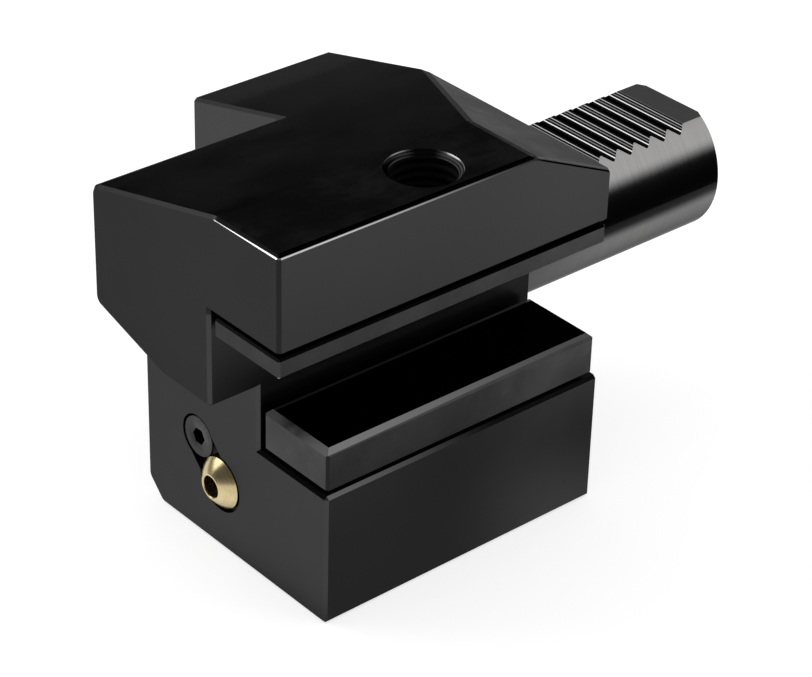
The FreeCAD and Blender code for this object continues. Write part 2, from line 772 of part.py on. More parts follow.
PIECES = [
    holder_body(),
    pressure_strip(),
    strip_guide_pins(),
    strip_pin_rings(),
    clamp_screw(),
    clamp_screw_foot(),
    support_bar(),
    bar_guide_pins(),
    jack_screw("front_jack_screw", -1),
    jack_screw("rear_jack_screw", 1),
    bar_retaining_screw(),
    bar_return_spring(),
    nozzle_ball(),
    nozzle_seat_ring(),
    nozzle_lock_screw(),
    coolant_channel_plug(),
    coolant_inlet_seal(),
    shank_seal_ring(),
]

DOC.recompute()

for item in DOC.Objects:
    if "Invalid" in item.State or "Error" in item.State:
        raise RuntimeError("%s failed: %s" % (item.Name, item.State))
for piece in PIECES:
    if piece.Shape.isNull() or not piece.Shape.isValid():
        raise RuntimeError("%s has no valid shape" % piece.Label)

os.makedirs("parts", exist_ok=True)
for piece in PIECES:
    piece.Shape.exportStep("parts/%s.step" % piece.Label)
    print("%s: %d solid(s), %.1f mm3" % (piece.Label, len(piece.Shape.Solids), piece.Shape.Volume))
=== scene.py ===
"""Looks of a turret tool holder with an axial slot for a square tool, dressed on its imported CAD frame."""

from __future__ import annotations

import logging
import math
from collections.abc import Sequence
from dataclasses import dataclass
from enum import Enum
from typing import NamedTuple

import bmesh
import bpy
from mathutils import Matrix, Vector


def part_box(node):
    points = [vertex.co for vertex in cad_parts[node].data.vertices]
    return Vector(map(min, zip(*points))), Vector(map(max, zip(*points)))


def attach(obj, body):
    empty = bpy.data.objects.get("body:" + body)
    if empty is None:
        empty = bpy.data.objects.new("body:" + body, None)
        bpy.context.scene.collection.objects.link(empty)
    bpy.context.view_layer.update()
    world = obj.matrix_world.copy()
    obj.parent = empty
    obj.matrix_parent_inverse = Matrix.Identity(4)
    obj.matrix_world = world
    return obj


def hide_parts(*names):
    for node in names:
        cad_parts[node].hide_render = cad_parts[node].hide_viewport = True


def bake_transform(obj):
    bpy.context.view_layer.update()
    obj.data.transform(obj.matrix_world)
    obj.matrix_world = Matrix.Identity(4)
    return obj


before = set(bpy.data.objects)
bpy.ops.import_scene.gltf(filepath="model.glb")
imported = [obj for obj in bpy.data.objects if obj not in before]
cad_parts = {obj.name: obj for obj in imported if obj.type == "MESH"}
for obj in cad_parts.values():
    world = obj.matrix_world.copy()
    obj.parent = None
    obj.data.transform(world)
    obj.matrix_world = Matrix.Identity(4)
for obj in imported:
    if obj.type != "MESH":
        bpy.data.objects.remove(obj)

LOG = logging.getLogger("tool_holder")
Colour = tuple[float, float, float, float]
Triple = tuple[float, float, float]
Socket = bpy.types.NodeSocket
Shape = bmesh.types.BMesh
Edge = bmesh.types.BMEdge
Vert = bmesh.types.BMVert

# On a broken edge two parts of the normal multiply to more than LEAN; on a flat face one part is past FLAT.
LEAN = 0.3
LEAN_SOFT = 0.05
FLAT = 0.9
FLAT_SOFT = 0.02
# Points nearer than this, in metres, are one.
WELD = 2e-7


def grey(value: float) -> Colour:
    """A neutral colour of one linear value."""
    return (value, value, value, 1.0)


class Axis(Enum):
    """The way a screw's key socket opens."""

    UP = Vector((0.0, 0.0, 1.0))
    DOWN = Vector((0.0, 0.0, -1.0))
    FRONT = Vector((0.0, -1.0, 0.0))
    LEFT = Vector((-1.0, 0.0, 0.0))

    def turn(self) -> Matrix:
        """The rotation that takes +Z to this way."""
        return Vector((0.0, 0.0, 1.0)).rotation_difference(self.value).to_matrix().to_4x4()


class Wire:
    """A number that flows through a node tree; its operators add Math nodes."""

    def __init__(self, board: Board, socket: Socket) -> None:
        """Keep the output socket that carries the number, and its board."""
        self.board = board
        self.socket = socket

    def _math(self, operation: str, *values: Wire | float) -> Wire:
        """One Math node on wires and numbers, given in the order of its sockets."""
        return self.board.wire("ShaderNodeMath", {"operation": operation}, dict(enumerate(values)))

    def __add__(self, other: Wire | float) -> Wire:
        """Sum."""
        return self._math("ADD", self, other)

    def __radd__(self, other: float) -> Wire:
        """Sum with a number on the left."""
        return self._math("ADD", other, self)

    def __sub__(self, other: Wire | float) -> Wire:
        """Difference."""
        return self._math("SUBTRACT", self, other)

    def __rsub__(self, other: float) -> Wire:
        """Difference with a number on the left."""
        return self._math("SUBTRACT", other, self)

    def __mul__(self, other: Wire | float) -> Wire:
        """Product."""
        return self._math("MULTIPLY", self, other)

    def __rmul__(self, other: float) -> Wire:
        """Product with a number on the left."""
        return self._math("MULTIPLY", other, self)

    def __truediv__(self, other: Wire | float) -> Wire:
        """Quotient."""
        return self._math("DIVIDE", self, other)

    def least(self, other: Wire | float) -> Wire:
        """The smaller of two."""
        return self._math("MINIMUM", self, other)

    def most(self, other: Wire | float) -> Wire:
        """The larger of two."""
        return self._math("MAXIMUM", self, other)

    def root(self) -> Wire:
        """Square root."""
        return self._math("SQRT", self)

    def sine(self) -> Wire:
        """Sine of an angle in radians."""
        return self._math("SINE", self)

    def saw(self) -> Wire:
        """A triangle wave of period 1 between 0 and 1."""
        return self._math("PINGPONG", self, 0.5) * 2.0

    def angle(self, across: Wire) -> Wire:
        """The angle whose sine is this and whose cosine is across."""
        return self._math("ARCTAN2", self, across)

    def above(self, edge: float, soft: float) -> Wire:
        """A mask that rises from 0 to 1 around an edge, within a soft width to either side."""
        sockets = {"Value": self, "From Min": edge - soft, "From Max": edge + soft}
        return self.board.wire("ShaderNodeMapRange", {"interpolation_type": "SMOOTHSTEP"}, sockets)

    def below(self, edge: float, soft: float) -> Wire:
        """A mask that falls from 1 to 0 around an edge."""
        return 1.0 - self.above(edge, soft)

    def between(self, low: float, high: float, soft: float) -> Wire:
        """A mask that is 1 between two edges."""
        return self.above(low, soft) * self.below(high, soft)


class Spot(NamedTuple):
    """A point on a piece and the surface's own normal there, part by part."""

    x: Wire
    y: Wire
    z: Wire
    nx: Wire
    ny: Wire
    nz: Wire


class Board:
    """A node tree with one short way to place each node."""

    def __init__(self, tree: bpy.types.NodeTree) -> None:
        """Empty the tree of a material or of the world, and keep it."""
        tree.nodes.clear()
        self.tree = tree

    def add(
        self, kind: str, settings: dict[str, object] | None = None, sockets: dict[str | int, object] | None = None
    ) -> bpy.types.Node:
        """Place one node.

        Args:
            kind: The node's type.
            settings: Its settings, set first.
            sockets: Values or links of its input sockets.

        Returns:
            The node.
        """
        node = self.tree.nodes.new(kind)
        for key, value in (settings or {}).items():
            setattr(node, key, value)
        for key, value in (sockets or {}).items():
            self.feed(node.inputs[key], value)
        return node

    def wire(self, kind: str, settings: dict[str, object] | None, sockets: dict[str | int, object]) -> Wire:
        """Place one node and take up the number that it gives."""
        return Wire(self, self.add(kind, settings, sockets).outputs[0])

    def feed(self, socket: Socket, value: object) -> None:
        """Link a wire or a socket to an input, or set its value.

        Args:
            socket: The input.
            value: The wire, the output socket or the plain value.
        """
        if isinstance(value, Wire):
            self.tree.links.new(value.socket, socket)
        elif isinstance(value, Socket):
            self.tree.links.new(value, socket)
        else:
            socket.default_value = value

    def place(self) -> Socket:
        """The point on the piece, in metres, in the frame that all pieces share."""
        return self.add("ShaderNodeTexCoord").outputs["Object"]

    def parts(self, vector: Socket) -> tuple[Wire, Wire, Wire]:
        """The three parts of a vector."""
        node = self.add("ShaderNodeSeparateXYZ", None, {0: vector})
        return Wire(self, node.outputs[0]), Wire(self, node.outputs[1]), Wire(self, node.outputs[2])

    def spot(self, place: Socket) -> Spot:
        """The parts of a point on the piece and of the surface's own normal there."""
        return Spot(*self.parts(place), *self.parts(self.add("ShaderNodeTexCoord").outputs["Normal"]))

    def rays(self) -> tuple[Wire, Wire]:
        """Whether a ray comes straight from the eye, and whether it comes off a mirror."""
        ray = {name: Wire(self, socket) for name, socket in self.add("ShaderNodeLightPath").outputs.items()}
        return ray["Is Camera Ray"].most(ray["Is Transmission Ray"]), ray["Is Glossy Ray"]

    def stretched(self, vector: Socket, scale: Triple) -> Socket:
        """A vector with each of its parts scaled."""
        return self.add("ShaderNodeMapping", None, {"Vector": vector, "Scale": scale}).outputs[0]

    def noise(self, vector: Socket, scale: float, detail: float, rough: float) -> Wire:
        """Cloudy noise around one half, with features per metre, octaves and the finer octaves' strength."""
        sockets = {"Vector": vector, "Scale": scale, "Detail": detail, "Roughness": rough}
        return self.wire("ShaderNodeTexNoise", None, sockets)

    def specks(self, vector: Socket, scale: float) -> Wire:
        """The distance to the nearest of many scattered points."""
        return self.wire("ShaderNodeTexVoronoi", None, {"Vector": vector, "Scale": scale})

    def tinted(self, level: Wire, blue: float = 1.0) -> Socket:
        """A grey of one level, with its blue part scaled."""
        return self.add("ShaderNodeCombineColor", None, {0: level, 1: level, 2: level * blue}).outputs[0]

    def blend(self, mask: Wire, low: object, high: object) -> Socket:
        """A colour that goes from low to high with a mask."""
        settings = {"data_type": "RGBA", "clamp_factor": True}
        return self.add("ShaderNodeMix", settings, {0: mask, 6: low, 7: high}).outputs[2]

    def mixed(self, mask: Wire, low: Wire | float, high: Wire | float) -> Wire:
        """A number that goes from low to high with a mask."""
        return self.wire("ShaderNodeMix", {"data_type": "FLOAT"}, {0: mask, 2: low, 3: high})

    def bump(self, height: Wire, depth: float, under: Socket | None = None) -> Socket:
        """A normal that follows a height between 0 and 1, of a depth in metres, over another normal."""
        sockets = {"Height": height, "Distance": depth} | ({"Normal": under} if under else {})
        return self.add("ShaderNodeBump", None, sockets).outputs[0]


def new_board(name: str) -> tuple[bpy.types.Material, Board]:
    """Start a material.

    Args:
        name: The material's name.

    Returns:
        The material and the board of its empty node tree.
    """
    material = bpy.data.materials.new(name)
    material.use_nodes = True
    return material, Board(material.node_tree)


def close(board: Board, sockets: dict[str | int, object]) -> None:
    """End a material in one shader with these values."""
    shader = board.add("ShaderNodeBsdfPrincipled", None, sockets)
    board.add("ShaderNodeOutputMaterial", None, {"Surface": shader.outputs[0]})


@dataclass(frozen=True)
class FacePaintedLight:
    """Painted light and shade on the upright faces: how much lighter or darker than plain satin each one is painted."""

    nose: float = -0.16
    wing: float = 0.4
    block: float = 0.12
    low_side: float = 0.12
    rear: float = 0.3
    low_rear: float = 1.7


@dataclass(frozen=True)
class EdgePaintedLight:
    """Painted highlight and shade on the broken edges: how much lighter or darker than its faces each one is painted.
    """

    jaw_front: float = -0.6
    upper: float = -0.97
    front_top: float = -0.85
    ledge: float = -0.85
    ledge_near: float = 3.5
    ledge_front: float = -0.95
    seam: float = 14.0
    side_seam: float = 4.5


@dataclass(frozen=True)
class HolderFinish:
    """Black oxide on the block and jaw, ground steel on the shank and the flange's face."""

    satin: float = 0.055
    # Painted shade: the polished top's slopes at the first level, its flat part at the second.
    shaded_polished_top: float = 0.01
    polished_slope: float = 0.062
    blue: float = 1.03
    hole_shade_level: float = 0.002
    # The clamp hole's rim, with its painted glints.
    rim_level: float = 0.012
    glint: float = 0.12
    glint_gain: float = 0.5
    ground: Colour = (0.5, 0.492, 0.487, 1.0)
    worked: Colour = (0.435, 0.428, 0.424, 1.0)
    # Painted highlight colour of the jaw's top edges, drawn as bare steel.
    bare_highlight: Colour = (0.86, 0.86, 0.87, 1.0)
    satin_rough: float = 0.38
    slope_rough: float = 0.3
    polished_rough: float = 0.22
    ground_rough: float = 0.16
    bare_highlight_rough: float = 0.24
    hole_rough: float = 0.9
    edge_tint: float = 0.375
    relief: float = 0.000008
    thread_relief: float = 0.0007
    edge: float = 0.0006
    right: float = 0.0375
    left: float = -0.015
    front: float = -0.0638
    top: float = 0.0383
    top_band: float = 0.036
    nose: float = -0.0742
    kink: float = 0.0205
    slope_start: float = -0.018
    side_top: float = 0.0285
    jaw_low: float = 0.0195
    slot_low: float = -0.013
    shank_radius: float = 0.015
    rack_end: float = 0.0489
    root: float = 0.01075
    tooth: float = 0.00125
    clamp_x: float = 0.0286
    clamp_y: float = -0.036
    clamp_radius: float = 0.0068
    clamp_pitch: float = 0.00175
    rim_lines: float = 14000.0
    # Painted light and shade on the upright faces and on the broken edges.
    faces: FacePaintedLight = FacePaintedLight()
    edges: EdgePaintedLight = EdgePaintedLight()

    def material(self) -> bpy.types.Material:
        """The body's one material."""
        return HolderPaint(self).material


class HolderPaint:
    """The holder's finish as nodes, with a zone for each way that the body was machined, and painted light and shade on
    its faces, edges, teeth and clamp hole.
    """

    def __init__(self, look: HolderFinish) -> None:
        """Place the noises, the zones and the shader.

        Args:
            look: The finish's levels and the places where they change.
        """
        self.look = look
        self.material, self.board = new_board("blackened_and_ground_body")
        board, place = self.board, self.board.place()
        self.at = board.spot(place)
        self.cloud = board.noise(place, 38.0, 5.0, 0.6)
        self.fine = board.noise(place, 900.0, 3.0, 0.6)
        self.smudge = board.noise(board.stretched(place, (1.0, 0.6, 1.0)), 85.0, 6.0, 0.7)
        self.turned = board.noise(board.stretched(place, (60.0, 5200.0, 60.0)), 1.0, 2.0, 0.5)
        self.specks = board.specks(place, 420.0).below(0.1, 0.05) * self.smudge.above(0.62, 0.05)
        scratch = board.noise(board.stretched(place, (260.0, 2200.0, 260.0)), 1.0, 2.0, 0.5)
        x, y, z, nx, ny, nz = self.at
        self.front_edge = (ny * nz).below(-LEAN, LEAN_SOFT)
        self.right_edge = (nx * nz).above(LEAN, LEAN_SOFT)
        shank = y.above(0.00002, 0.00001) * (x * x + z * z).root().below(look.shank_radius + 0.00015, 0.00005)
        teeth = y.below(look.rack_end, 0.0001) * z.above(look.root - 0.0002, 0.0001)
        self.ground = shank.most(y.above(-0.00003, 0.00001) * ny.above(FLAT, FLAT_SOFT))
        self.rack = shank * teeth * nx.between(-LEAN, LEAN, LEAN_SOFT)
        self.shaded_polished_top = nz.above(FLAT, FLAT_SOFT) * z.above(0.025, 0.001)
        self.bare_highlight = self._bare_highlight()
        self.across, self.along = across, along = x - look.clamp_x, y - look.clamp_y
        self.reach = (across * across + along * along).root()
        hole = self.reach.below(look.clamp_radius + 0.0004, 0.0001)
        self.rim = hole * nz.between(LEAN, FLAT, LEAN_SOFT) * z.above(look.top_band, 0.0002)
        self.wall = hole * nz.below(LEAN, LEAN_SOFT)
        relief = board.mixed(self.ground, self.fine * 0.25 + scratch * 0.3 + self.smudge * 0.2, self.turned * 0.18)
        thread = (z / look.clamp_pitch + along.angle(across) / math.tau).saw()
        thread = thread * z.between(look.jaw_low, look.top - 0.0003, 0.0001) * hole
        sockets = {
            "Base Color": self._colour(),
            "Metallic": 1.0 - self.wall,
            "Roughness": self._roughness(),
            "Specular Tint": grey(look.edge_tint),
            "Normal": board.bump(thread, look.thread_relief, board.bump(relief, look.relief)),
        }
        close(board, sockets)

    def _colour(self) -> Socket:
        """The colour over the whole body.

        Returns:
            The colour.
        """
        board, look = self.board, self.look
        # Painted light and shade go into the colour here: the faces, the edges, the teeth, the jaw's edge highlight,
        # the rim's glints and the hole's wall.
        level = board.mixed(self.shaded_polished_top, self._side(), self._top()) * self._edge_painted_light()
        steel = board.blend(self.turned.above(0.5, 0.3), look.worked, look.ground)
        colour = board.blend(self.ground, board.tinted(level, look.blue), steel)
        colour = board.blend(self.rack, colour, board.tinted(self._rack_painted_reflection()))
        colour = board.blend(self.bare_highlight, colour, look.bare_highlight)
        colour = board.blend(self.rim, colour, board.tinted(self._rim_painted_glints()))
        # Painted shade: the clamp hole's wall is near black.
        return board.blend(self.wall, colour, grey(look.hole_shade_level))

    def _roughness(self) -> Wire:
        """The roughness over the whole body.

        Returns:
            The roughness.
        """
        mixed, look = self.board.mixed, self.look
        slope = self.at.ny.between(0.2, 0.9, 0.1) * self.at.nz.above(0.2, 0.1)
        side = look.satin_rough + (self.cloud - 0.5) * 0.12 + (self.fine - 0.5) * 0.05 + slope * look.slope_rough
        top = look.polished_rough + (self.smudge - 0.5) * 0.3
        steel = look.ground_rough + (self.turned - 0.5) * 0.08
        rough = mixed(self.ground, mixed(self.shaded_polished_top, side, top), steel)
        return mixed(self.wall, mixed(self.bare_highlight.most(self.rim), rough, look.bare_highlight_rough), look.hole_rough)

    def _side(self) -> Wire:
        """The satin oxide's level on the upright faces, each face painted lighter or darker as light and shade, the
        rear painted lighter.

        Returns:
            The level.
        """
        x, y, z, nx, ny, _ = self.at
        look, tone = self.look, self.look.faces
        level = look.satin * (0.96 + 0.08 * self.cloud.above(0.5, 0.2)) + self.fine * 0.003 + self.specks * 0.008
        ahead, aside = ny.below(-0.8, 0.1), nx.above(0.8, 0.1)
        # Painted light and shade: the nose darker; the wing, the block, the low side and the rear lighter.
        nose = ahead * y.below(look.nose + 0.003, 0.0004)
        wing = ahead * x.below(look.left - 0.001, 0.0004)
        block = ahead * y.between(look.front - 0.002, look.front + 0.002, 0.0004)
        low = aside * z.below(look.slot_low, 0.0005)
        rear = aside * y.above(look.slope_start, 0.02)
        shade = 1.0 + nose * tone.nose + wing * tone.wing + block * tone.block + low * tone.low_side
        return level * (shade + rear * (tone.rear + low * tone.low_rear))

    def _top(self) -> Wire:
        """The polished oxide's level on the sloping and the flat top face, the slopes painted darker as shade, with
        wiped smudges.
        """
        level = self.board.mixed(self.at.nz.above(0.985, 0.008), self.look.shaded_polished_top, self.look.polished_slope)
        return level * (0.7 + 0.7 * self.smudge.above(0.55, 0.16)) + self.specks * 0.02

    def _rack_painted_reflection(self) -> Wire:
        """The level of the teeth: painted dark, with three painted reflection lines on the flank that faces forward.

        Returns:
            The level.
        """
        rise = (self.at.z - self.look.root) / self.look.tooth
        lines = self.fine * 0.004
        # Painted reflection: three bright bands at fixed heights up the forward flank.
        for low, high, level in ((0.225, 0.305, 0.8), (0.5, 0.57, 0.2), (0.745, 0.81, 0.4)):
            lines = lines + rise.between(low, high, 0.02) * level
        return lines * self.at.ny.below(-LEAN, 0.1) + 0.0015

    def _rim_painted_glints(self) -> Wire:
        """The level of the clamp hole's rim: dark, with painted glints on two arcs of it, broken by its turned lines.

        Returns:
            The level.
        """
        lines = (self.at.z * self.look.rim_lines).sine().above(0.2, 0.5) * self.cloud.above(0.4, 0.2)
        lit = self._rim_glint_side(66.0, 46.0).most(self._rim_glint_side(188.0, 18.0))
        return self.look.rim_level + lit * (self.look.glint + self.look.glint_gain * lines)

    def _rim_glint_side(self, way: float, spread: float) -> Wire:
        """A mask of one arc of the clamp hole's rim that takes a painted glint, within a spread in degrees of a way in
        degrees from +X.
        """
        dot = self.across * math.cos(math.radians(way)) + self.along * math.sin(math.radians(way))
        return (dot / self.reach).above(math.cos(math.radians(spread)), 0.16)

    def _edge_painted_light(self) -> Wire:
        """How much each broken edge is painted lighter or darker than the faces beside it, as painted shade and painted
        highlights.

        Returns:
            A factor for the oxide's level.
        """
        x, y, z, nx, ny, nz = self.at
        look, tone = self.look, self.look.edges
        jaw_front = (nx * ny).below(-LEAN, LEAN_SOFT) * z.above(look.jaw_low - 0.001, 0.0003)
        jaw_front = jaw_front * y.below(look.nose + 0.002, 0.0004)
        side_edge = (nx * nz).above(0.25, LEAN_SOFT) * z.above(look.side_top, 0.0005)
        band = nz.above(FLAT, FLAT_SOFT) * z.above(look.top_band, 0.0003)
        rim = y.below(look.slope_start - 0.0002, 0.0008).most(x.above(look.right - 0.0003, 0.0001))
        upper = side_edge.most(band) * x.above(look.right - look.edge - 0.0005, 0.00008) * rim
        front_top = self.front_edge * z.above(0.02, 0.0005) * x.above(look.kink, 0.0004)
        ledge = z.between(look.slot_low - 0.0015, look.slot_low + 0.0005, 0.0002)
        ledge_tone = y.below(-0.045, 0.022) * tone.ledge_near + tone.ledge
        seam = ny.between(0.12, 0.33, 0.04) * nz.above(FLAT, FLAT_SOFT) * x.above(look.kink, 0.0008)
        side_seam = side_edge * y.above(look.slope_start + 0.0005, 0.0008) * x.below(look.right - 0.0003, 0.0001)
        # Painted shade darkens the jaw's front, upper and front-top edges, the ledge's front and the ledge towards the
        # rear; painted highlights light the ledge near the front and the two seams.
        shade = 1.0 + jaw_front * tone.jaw_front + upper * tone.upper + front_top * tone.front_top
        shade = shade + self.right_edge * ledge * ledge_tone + self.front_edge * ledge * tone.ledge_front
        return shade + seam * tone.seam + side_seam * tone.side_seam

    def _bare_highlight(self) -> Wire:
        """Where a painted highlight lies along the jaw's two top edges: a bare-metal line low on each chamfer, the
        right one fading towards the rear.

        Returns:
            A mask.
        """
        x, y, z = self.at[:3]
        look = self.look
        fall = (look.top - z) / look.edge
        right = self.right_edge * x.above(look.right - 0.0015, 0.0003) * z.above(look.top - 0.0011, 0.0002)
        right = right * fall.above(0.66, 0.08) * (y.below(-0.044, 0.028) * 0.9 + 0.05)
        front = self.front_edge * z.above(look.top_band, 0.0005) * x.above(look.kink, 0.0004)
        reach = (x - look.kink) / (look.right - look.kink)
        return right.most(front * (fall + reach * 0.3).above(0.95, 0.08))


@dataclass(frozen=True)
class PieceEdgePaintedLight:
    """Painted highlight and shade on a loose piece: how bright each kind of broken edge is painted, how far the bright
    ones reach, a painted line along the top's inner edge and a painted lighter rear.
    """

    upper_long: float
    upper_cross: float
    upright: float
    lower: float
    far: float = 0.4
    low_limit: float = -1.0
    inner_line: float = 0.0
    inner_x: float = 0.0
    foot_z: float = -1.0
    rear_painted_light: float = 0.0
    lower_far: float = 0.12
    shaded_cross: float = 0.0
    shade_x: float = -1.0


@dataclass(frozen=True)
class OxideFinish:
    """Black oxide on a loose piece, with brushed lines one way, its top painted darker as shade, and a painted
    highlight or shade on each broken edge.
    """

    name: str
    level: float
    shaded_top_level: float
    roughness: float
    edges: PieceEdgePaintedLight
    brush: Triple = (200.0, 40.0, 1600.0)
    blue: float = 1.02
    top_gloss: float = 0.55
    edge_rough: float = 0.3
    edge_tint: float = 0.47
    relief: float = 0.00001

    def material(self) -> bpy.types.Material:
        """The finish as a material.

        Returns:
            The material.
        """
        material, board = new_board(self.name)
        place = board.place()
        at = board.spot(place)
        cloud = board.noise(place, 60.0, 5.0, 0.6)
        patch = board.noise(place, 160.0, 6.0, 0.7)
        lines = board.noise(board.stretched(place, self.brush), 1.0, 3.0, 0.6)
        fine = board.noise(place, 1200.0, 2.0, 0.5)
        top = at.nz.above(0.95, 0.02)
        side = self.level * (0.86 + 0.28 * cloud.above(0.5, 0.15)) + patch.above(0.6, 0.1) * self.level * 0.16
        # Painted shade darkens the top; painted light brightens the upright side towards the rear and a thin line along
        # the top's inner edge.
        level = board.mixed(top, side + lines * 0.004, self.shaded_top_level * (0.8 + 0.4 * cloud))
        level = level * (1.0 + at.nx.above(0.8, 0.1) * at.y.above(-0.018, 0.02) * self.edges.rear_painted_light)
        line = top * at.x.below(self.edges.inner_x, 0.00012)
        level = self._edges_painted_light(board, board.mixed(line, level, self.edges.inner_line), at)
        worn = (at.nx * at.nx).most(at.ny * at.ny).most(at.nz * at.nz).below(0.62, 0.02)
        rough = self.roughness + (cloud - 0.5) * 0.14 + (fine - 0.5) * 0.06
        rough = board.mixed(worn, board.mixed(top, rough, rough * self.top_gloss), self.edge_rough)
        close(
            board,
            {
                "Base Color": board.tinted(level, self.blue),
                "Metallic": 1.0,
                "Roughness": rough,
                "Specular Tint": grey(self.edge_tint),
                "Normal": board.bump(lines * 0.5 + fine * 0.3 + patch * 0.2, self.relief),
            },
        )
        return material

    def _edges_painted_light(self, board: Board, level: Wire, at: Spot) -> Wire:
        """Give each kind of broken edge its painted highlight or shade.

        Args:
            board: The material's board.
            level: The level so far.
            at: The point and its normal.

        Returns:
            The level with the edges.
        """
        tone = self.edges
        near = at.y.below(-0.034, 0.03)
        reach = board.mixed(near, tone.far, 1.0)
        up, down = at.nz.above(0.2, LEAN_SOFT), at.nz.below(-0.2, LEAN_SOFT)
        half_x, half_y, half_z = ((part * part).between(0.3, 0.75, 0.05) for part in (at.nx, at.ny, at.nz))
        lit = (at.z - (1.0 - near) * 0.0003).above(tone.low_limit, 0.00006)
        foot = at.z.below(tone.foot_z, 0.00005) * (at.nz * at.nz).below(0.3, 0.1)
        level = board.mixed(half_x * up * lit, level, tone.upper_long * reach)
        cross = board.mixed(at.x.below(tone.shade_x, 0.003), tone.upper_cross, tone.shaded_cross)
        level = board.mixed(half_y * up, level, cross)
        level = board.mixed(half_x * half_y, level, tone.upright)
        return board.mixed((down * half_z).most(foot), level, board.mixed(near, tone.lower_far, tone.lower))


@dataclass(frozen=True)
class TurnedFinish:
    """A turned or ground metal, with fine rings about its axis."""

    name: str
    colour: Colour
    worn: Colour
    roughness: float
    centre: Triple = (0.0, 0.0, 0.0)
    across: tuple[int, int] = (0, 1)
    rings: float = 3000.0
    relief: float = 0.000012

    def material(self) -> bpy.types.Material:
        """The finish as a material.

        Returns:
            The material.
        """
        material, board = new_board(self.name)
        place = board.place()
        axes = board.parts(place)
        first, second = self.across
        along = axes[3 - first - second] - self.centre[3 - first - second]
        one, two = axes[first] - self.centre[first], axes[second] - self.centre[second]
        radius = (one * one + two * two).root()
        cloud = board.noise(place, 320.0, 5.0, 0.65)
        fine = board.noise(place, 2400.0, 2.0, 0.5)
        path = board.add("ShaderNodeCombineXYZ", None, {0: radius * self.rings, 1: along * self.rings}).outputs[0]
        ring = board.noise(path, 1.0, 2.0, 0.6)
        mask = (cloud.above(0.52, 0.14) * 0.7 + ring.above(0.55, 0.15) * 0.3).least(1.0)
        colour = board.blend(mask, self.worn, self.colour)
        rough = self.roughness + (cloud - 0.5) * 0.16 + (ring - 0.5) * 0.08
        normal = board.bump(ring * 0.8 + fine * 0.2, self.relief)
        close(board, {"Base Color": colour, "Metallic": 1.0, "Roughness": rough, "Normal": normal})
        return material


@dataclass(frozen=True)
class ScrewOxide(TurnedFinish):
    """Black oxide on a turned screw."""

    colour: Colour = grey(0.05)
    worn: Colour = grey(0.03)
    roughness: float = 0.34


@dataclass(frozen=True)
class PinSteel(TurnedFinish):
    """Ground steel of a pressed-in pin."""

    colour: Colour = (0.58, 0.58, 0.59, 1.0)
    worn: Colour = (0.42, 0.42, 0.43, 1.0)
    roughness: float = 0.2


@dataclass(frozen=True)
class RubberFinish:
    """Matt black rubber with a faint bloom and moulding grain."""

    name: str = "ring_rubber"
    dark: Colour = (0.012, 0.012, 0.012, 1.0)
    bloom: Colour = (0.035, 0.035, 0.034, 1.0)
    roughness: float = 0.62
    relief: float = 0.00002

    def material(self) -> bpy.types.Material:
        """The finish as a material.

        Returns:
            The material.
        """
        material, board = new_board(self.name)
        place = board.place()
        cloud = board.noise(place, 260.0, 5.0, 0.65)
        grain = board.noise(place, 4200.0, 2.0, 0.5)
        colour = board.blend(cloud.above(0.55, 0.18), self.dark, self.bloom)
        rough = self.roughness + (cloud - 0.5) * 0.2
        close(board, {"Base Color": colour, "Roughness": rough, "Normal": board.bump(grain, self.relief)})
        return material


def shell(name: str, shape: Shape, material: bpy.types.Material, smooth: float = 30.0) -> bpy.types.Object:
    """Make an object of a finished shape.

    Args:
        name: The piece's name.
        shape: The shape, in place, in metres; it is freed.
        material: The piece's material.
        smooth: The edge angle in degrees under which faces are shaded as one.

    Returns:
        The object, at the origin.
    """
    bmesh.ops.remove_doubles(shape, verts=shape.verts, dist=1e-7)
    bmesh.ops.recalc_face_normals(shape, faces=shape.faces)
    for face in shape.faces:
        face.smooth = True
    for edge in shape.edges:
        edge.smooth = len(edge.link_faces) == 2 and edge.calc_face_angle(math.pi) < math.radians(smooth)
    mesh = bpy.data.meshes.new(name)
    shape.to_mesh(mesh)
    shape.free()
    mesh.materials.append(material)
    item = bpy.data.objects.new(name, mesh)
    bpy.context.scene.collection.objects.link(item)
    return item


def spun(points: Sequence[tuple[float, float]], steps: int = 96, rise: float = 0.0) -> Shape:
    """Spin an outline once about Z.

    Args:
        points: Radius and height of each point, from one end to the other.
        steps: Sides round the axis.
        rise: Travel along Z in the whole turn, for a helix.

    Returns:
        The shape.
    """
    shape = bmesh.new()
    verts = [shape.verts.new((radius, 0.0, height)) for radius, height in points]
    edges = [shape.edges.new(pair) for pair in zip(verts, verts[1:])]
    bmesh.ops.spin(
        shape,
        geom=verts + edges,
        cent=(0.0, 0.0, 0.0),
        axis=(0.0, 0.0, 1.0),
        dvec=(0.0, 0.0, rise / steps),
        angle=math.tau,
        steps=steps,
        use_merge=rise == 0.0,
    )
    bmesh.ops.remove_doubles(shape, verts=shape.verts, dist=WELD)
    return shape


def pulled(shape: Shape, ring: list[Edge]) -> tuple[list[Vert], list[Edge]]:
    """Extrude a ring of edges, and give its new points and edges."""
    grown = bmesh.ops.extrude_edge_only(shape, edges=ring)["geom"]
    return [part for part in grown if isinstance(part, Vert)], [part for part in grown if isinstance(part, Edge)]


